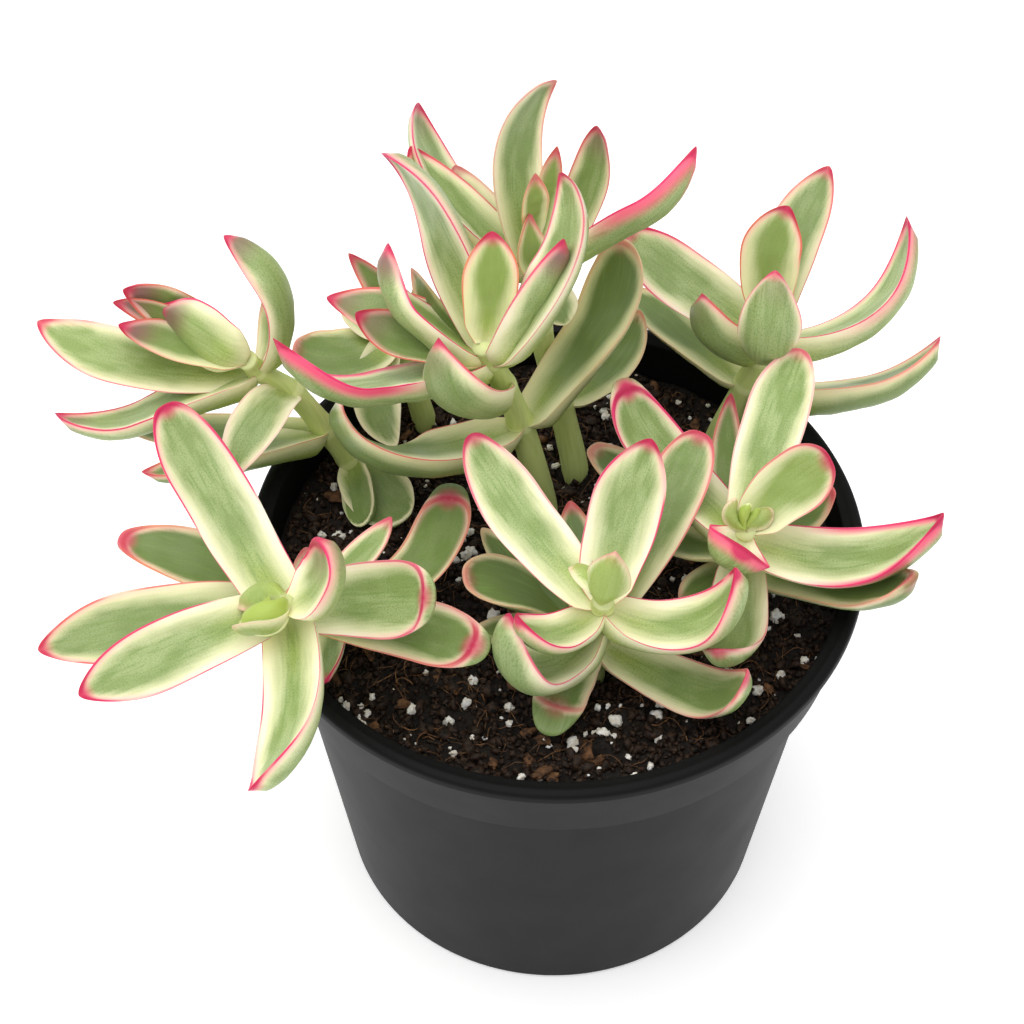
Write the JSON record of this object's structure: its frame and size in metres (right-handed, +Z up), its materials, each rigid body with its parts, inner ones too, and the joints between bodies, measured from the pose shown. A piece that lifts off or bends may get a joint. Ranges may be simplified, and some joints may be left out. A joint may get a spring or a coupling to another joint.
{
  "type": "potted candy cane crassula",
  "caption": "Potted candy cane crassula: spreading stems of thick, striped and pink-edged leaves in a filled round nursery pot.",
  "frame": {"origin": "centre of the pot's flat base", "axes": "+Z up along the pot's axis; -Y is the side that the picture was taken from, +X to its right"},
  "size_m": [0.2271, 0.1742, 0.1983],
  "materials": {
    "black_plastic": "matte moulded polypropylene",
    "potting_mix": "damp peat and bark with white perlite",
    "leaf": "smooth waxy leaf, grey-green centre, cream margins, thin pink edge"
  },
  "bodies": {
    "root": {"pot": "black_plastic", "soil": "potting_mix", "shoot_front_left": "leaf", "shoot_back_left": "leaf", "shoot_centre": "leaf", "shoot_back": "leaf", "shoot_back_right": "leaf", "shoot_right_front": "leaf", "shoot_front": "leaf", "shoot_back_hidden": "leaf"}
  },
  "joints": []
}
